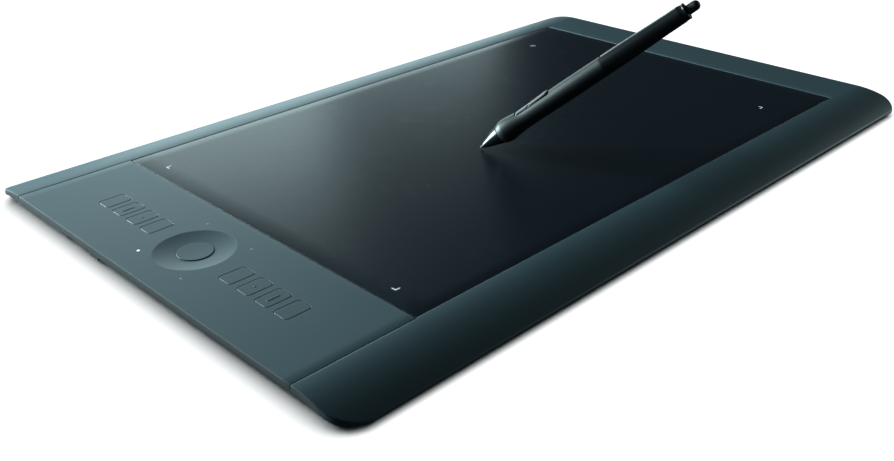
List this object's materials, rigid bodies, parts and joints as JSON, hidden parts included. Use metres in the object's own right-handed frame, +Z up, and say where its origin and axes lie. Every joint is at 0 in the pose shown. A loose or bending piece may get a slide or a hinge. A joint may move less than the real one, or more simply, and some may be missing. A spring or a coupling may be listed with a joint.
{
  "type": "pen drawing tablet",
  "caption": "Slim drawing tablet with a flat satin sheet, a strip of press keys around a touch ring, falling long edges, and a tapered pen held over it.",
  "frame": {"origin": "centre of the tablet's footprint on the surface that its feet stand on", "axes": "+X along the long side, away from the keys; +Y towards the far long side; +Z up through the drawing sheet"},
  "size_m": [0.487, 0.318, 0.1085],
  "materials": {
    "satin_shell": "satin, slate blue-grey",
    "black_shell": "fine satin, near black",
    "drawing_film": "fine-toothed satin film",
    "key_plastic": "satin, slate blue-grey",
    "circuit_board": "solder mask",
    "sheet_steel": "plain",
    "clear_guide": "milky clear",
    "foot_rubber": "matt",
    "battery_wrap": "satin",
    "pen_gloss": "glossy black",
    "pen_rubber": "soft satin black",
    "nib_plastic": "worn by use"
  },
  "bodies": {
    "root": {"battery_pack": "battery_wrap", "bottom_tray": "black_shell", "control_board": "circuit_board", "cover_screw_1": "sheet_steel", "cover_screw_2": "sheet_steel", "cover_screw_3": "sheet_steel", "cover_screw_4": "sheet_steel", "cover_screw_5": "sheet_steel", "cover_screw_6": "sheet_steel", "drawing_sheet": "drawing_film", "key_board": "circuit_board", "key_panel": "satin_shell", "marker_light_guide_1": "clear_guide", "marker_light_guide_2": "clear_guide", "marker_light_guide_3": "clear_guide", "marker_light_guide_4": "clear_guide", "ring_sensor_board": "circuit_board", "rubber_foot_1": "foot_rubber", "rubber_foot_2": "foot_rubber", "rubber_foot_3": "foot_rubber", "rubber_foot_4": "foot_rubber", "sensor_board": "circuit_board", "shield_plate": "sheet_steel", "status_light_guide_1": "clear_guide", "status_light_guide_2": "clear_guide", "status_light_guide_3": "clear_guide", "status_light_guide_4": "clear_guide", "top_cover": "satin_shell", "touch_ring": "key_plastic", "usb_socket": "sheet_steel", "wireless_module": "battery_wrap"},
    "pen": {"pen_barrel": "pen_gloss", "pen_coil_core": "circuit_board", "pen_end_ring": "pen_gloss", "pen_grip": "pen_rubber", "pen_nose_cone": "pen_gloss"},
    "express_key_1": {"express_key_1": "key_plastic"},
    "express_key_2": {"express_key_2": "key_plastic"},
    "express_key_3": {"express_key_3": "key_plastic"},
    "express_key_4": {"express_key_4": "key_plastic"},
    "express_key_5": {"express_key_5": "key_plastic"},
    "express_key_6": {"express_key_6": "key_plastic"},
    "express_key_7": {"express_key_7": "key_plastic"},
    "express_key_8": {"express_key_8": "key_plastic"},
    "ring_button": {"ring_button": "key_plastic"},
    "power_button": {"power_button": "black_shell"},
    "battery_cover": {"battery_cover": "black_shell"},
    "module_cover": {"module_cover": "black_shell"},
    "pen_nib": {"pen_nib": "nib_plastic"},
    "pen_eraser": {"pen_eraser": "pen_rubber"},
    "pen_side_switch": {"pen_side_switch": "pen_gloss"}
  },
  "joints": [
    {"name": "express_key_1_press", "type": "slide", "parent": "root", "child": "express_key_1", "axis": [0, 0, -1], "range_m": [0, 0.00045], "stiffness_N_per_m": 1200},
    {"name": "express_key_2_press", "type": "slide", "parent": "root", "child": "express_key_2", "axis": [0, 0, -1], "range_m": [0, 0.00045], "stiffness_N_per_m": 1200},
    {"name": "express_key_3_press", "type": "slide", "parent": "root", "child": "express_key_3", "axis": [0, 0, -1], "range_m": [0, 0.00045], "stiffness_N_per_m": 1200},
    {"name": "express_key_4_press", "type": "slide", "parent": "root", "child": "express_key_4", "axis": [0, 0, -1], "range_m": [0, 0.00045], "stiffness_N_per_m": 1200},
    {"name": "express_key_5_press", "type": "slide", "parent": "root", "child": "express_key_5", "axis": [0, 0, -1], "range_m": [0, 0.00045], "stiffness_N_per_m": 1200},
    {"name": "express_key_6_press", "type": "slide", "parent": "root", "child": "express_key_6", "axis": [0, 0, -1], "range_m": [0, 0.00045], "stiffness_N_per_m": 1200},
    {"name": "express_key_7_press", "type": "slide", "parent": "root", "child": "express_key_7", "axis": [0, 0, -1], "range_m": [0, 0.00045], "stiffness_N_per_m": 1200},
    {"name": "express_key_8_press", "type": "slide", "parent": "root", "child": "express_key_8", "axis": [0, 0, -1], "range_m": [0, 0.00045], "stiffness_N_per_m": 1200},
    {"name": "ring_button_press", "type": "slide", "parent": "root", "child": "ring_button", "axis": [0, 0, -1], "range_m": [0, 0.0005], "stiffness_N_per_m": 1200},
    {"name": "power_button_press", "type": "slide", "parent": "root", "child": "power_button", "axis": [1, 0, 0], "range_m": [0, 0.0004], "stiffness_N_per_m": 1500},
    {"name": "battery_cover_slide", "type": "slide", "parent": "root", "child": "battery_cover", "axis": [1, 0, 0], "range_m": [0, 0.006]},
    {"name": "module_cover_slide", "type": "slide", "parent": "root", "child": "module_cover", "axis": [1, 0, 0], "range_m": [0, 0.006]},
    {"name": "pen_lift", "type": "slide", "parent": "root", "child": "pen", "axis": [0, 0, 1], "range_m": [0, 0.12]},
    {"name": "pen_nib_press", "type": "slide", "parent": "pen", "child": "pen_nib", "axis": [0.4144, -0.6696, 0.6163], "range_m": [0, 0.0005], "stiffness_N_per_m": 2000},
    {"name": "pen_eraser_press", "type": "slide", "parent": "pen", "child": "pen_eraser", "axis": [-0.4144, 0.6696, -0.6163], "range_m": [0, 0.0005], "stiffness_N_per_m": 2000},
    {"name": "pen_side_switch_rock", "type": "hinge", "parent": "pen", "child": "pen_side_switch", "pos_m": [-0.00265, -0.04044, 0.04357], "axis": [-0.8296, -0.5564, -0.0467], "range_deg": [-3, 3], "stiffness_Nm_per_rad": 0.2}
  ]
}
